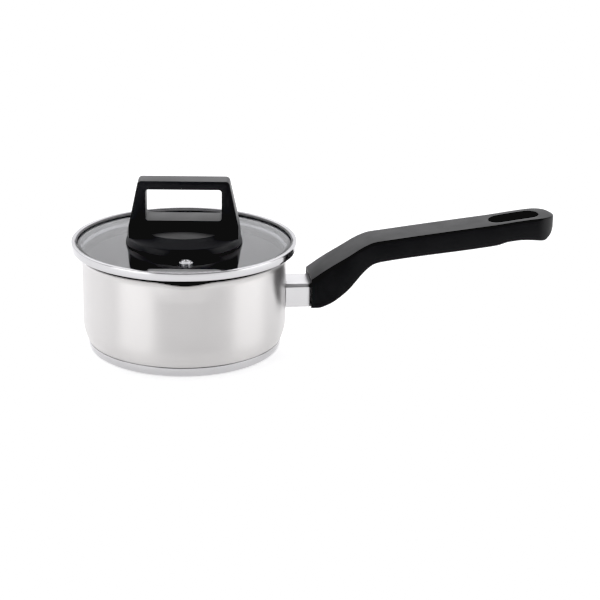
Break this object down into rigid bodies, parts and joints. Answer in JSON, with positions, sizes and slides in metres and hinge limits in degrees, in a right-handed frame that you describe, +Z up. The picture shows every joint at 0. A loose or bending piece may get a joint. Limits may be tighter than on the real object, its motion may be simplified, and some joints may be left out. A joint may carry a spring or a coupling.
{
  "type": "saucepan with glass lid",
  "caption": "Stainless saucepan with a long black handle, pouring lip and a steel-rimmed glass lid with a black bail knob.",
  "frame": {"origin": "centre of the pan's flat foot, on the surface it stands on", "axes": "+Z up along the pan's axis, +X along the long handle"},
  "size_m": [0.3866, 0.178, 0.1373],
  "materials": {
    "brushed_steel": "satin stainless, fine turned brushing",
    "polished_steel": "polished stainless",
    "aluminium": "plain aluminium",
    "glass": "clear toughened glass",
    "phenolic": "satin black moulded phenolic",
    "silicone": "grey silicone",
    "brass": "turned brass"
  },
  "bodies": {
    "pan": {"pan_body": "brushed_steel", "base_cap": "polished_steel", "base_heat_disc": "aluminium", "handle_tang": "brushed_steel", "handle_ferrule": "polished_steel", "handle_body": "phenolic", "handle_washer": "polished_steel", "handle_spring_washer": "polished_steel", "handle_screw": "polished_steel"},
    "lid": {"lid_glass": "glass", "lid_rim": "polished_steel", "rim_seal": "silicone", "vent_eyelet": "polished_steel", "vent_washer": "polished_steel", "knob": "phenolic", "knob_insert": "brass", "knob_seat_washer": "silicone", "knob_washer": "polished_steel", "knob_spring_washer": "polished_steel", "knob_screw": "polished_steel"}
  },
  "joints": [
    {"name": "lid_lift", "type": "slide", "parent": "pan", "child": "lid", "axis": [0, 0, 1], "range_m": [0, 0.12]}
  ]
}
